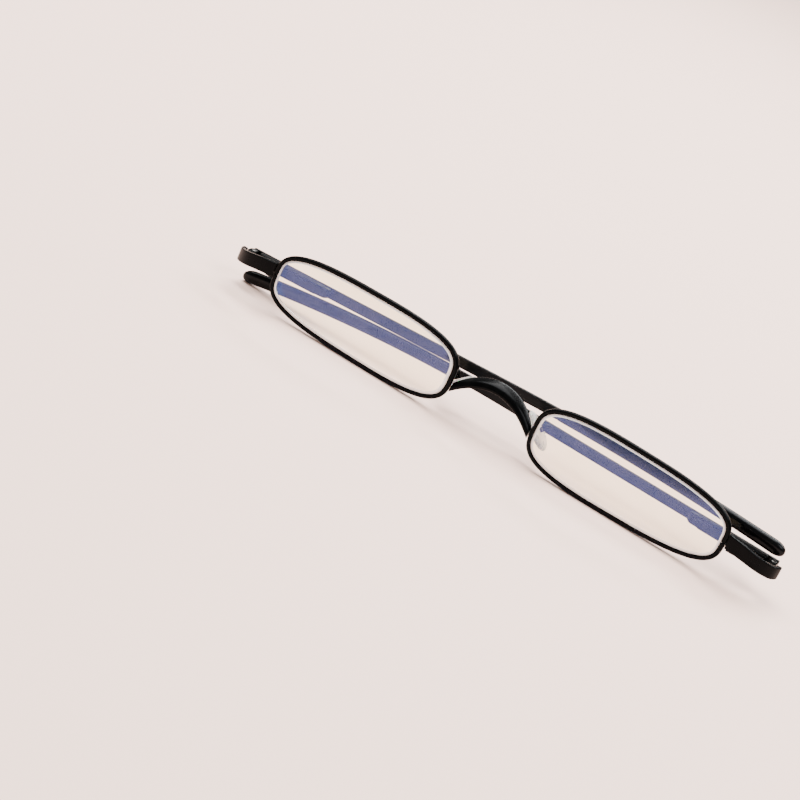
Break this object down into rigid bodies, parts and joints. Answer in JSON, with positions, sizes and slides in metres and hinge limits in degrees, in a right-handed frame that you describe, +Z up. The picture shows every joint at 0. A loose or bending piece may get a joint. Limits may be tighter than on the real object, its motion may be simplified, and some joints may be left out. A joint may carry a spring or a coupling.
{
  "type": "folding reading glasses",
  "caption": "Slim metal reading glasses, folded, with rounded narrow lenses, an arched bridge, spring hinges and plastic temple tips.",
  "frame": {"origin": "middle of the bounding box footprint, on the surface the folded glasses stand on", "axes": "+X across the front towards the right-hand hinge as seen from the front, +Y from the front towards the folded temples, +Z up"},
  "size_m": [0.151, 0.0126, 0.0186],
  "materials": {
    "black_paint": "glossy black",
    "black_plastic": "polished black",
    "coated_lens": "clear with a blue-violet coating",
    "clear_silicone": "soft, clear",
    "dark_steel": "darkened, satin"
  },
  "bodies": {
    "front": {"bridge": "black_paint", "left_rim": "black_paint", "left_lens": "coated_lens", "left_endpiece": "black_paint", "left_upper_closing_block": "black_paint", "left_lower_closing_block": "black_paint", "left_closing_screw": "dark_steel", "left_hinge_leaf": "black_paint", "left_hinge_screw": "dark_steel", "left_pad_arm": "black_paint", "left_pad_screw": "dark_steel", "right_rim": "black_paint", "right_lens": "coated_lens", "right_endpiece": "black_paint", "right_upper_closing_block": "black_paint", "right_lower_closing_block": "black_paint", "right_closing_screw": "dark_steel", "right_hinge_leaf": "black_paint", "right_hinge_screw": "dark_steel", "right_pad_arm": "black_paint", "right_pad_screw": "dark_steel"},
    "left_slider": {"left_hinge_slider": "dark_steel"},
    "left_temple": {"left_spring_housing": "black_paint", "left_spring_collar": "dark_steel", "left_hinge_spring": "dark_steel", "left_temple_strip": "black_paint", "left_temple_tip": "black_plastic"},
    "left_pad": {"left_nose_pad": "clear_silicone"},
    "right_slider": {"right_hinge_slider": "dark_steel"},
    "right_temple": {"right_spring_housing": "black_paint", "right_spring_collar": "dark_steel", "right_hinge_spring": "dark_steel", "right_temple_strip": "black_paint", "right_temple_tip": "black_plastic"},
    "right_pad": {"right_nose_pad": "clear_silicone"}
  },
  "joints": [
    {"name": "left_temple_hinge", "type": "hinge", "parent": "front", "child": "left_slider", "pos_m": [-0.073, 0.00288, 0.00751], "axis": [-0.0537, 0, 0.9986], "range_deg": [0, 90]},
    {"name": "left_spring_slide", "type": "slide", "parent": "left_slider", "child": "left_temple", "axis": [0.9986, 0, 0.0537], "range_m": [0, 0.0012], "stiffness_N_per_m": 60, "springref_m": -0.004, "deforming": ["left_hinge_spring"]},
    {"name": "left_pad_rock", "type": "hinge", "parent": "front", "child": "left_pad", "pos_m": [-0.01236, 0.00007, 0.00875], "axis": [-0.0689, 0.9972, 0.029], "range_deg": [-9, 9]},
    {"name": "right_temple_hinge", "type": "hinge", "parent": "front", "child": "right_slider", "pos_m": [0.073, 0.00288, 0.00751], "axis": [-0.0035, 0, -1], "range_deg": [0, 90]},
    {"name": "right_spring_slide", "type": "slide", "parent": "right_slider", "child": "right_temple", "axis": [-1, 0, 0.0035], "range_m": [0, 0.0012], "stiffness_N_per_m": 60, "springref_m": -0.004, "deforming": ["right_hinge_spring"]},
    {"name": "right_pad_rock", "type": "hinge", "parent": "front", "child": "right_pad", "pos_m": [0.01236, 0.00007, 0.00875], "axis": [0.0689, 0.9972, 0.029], "range_deg": [-9, 9]}
  ]
}
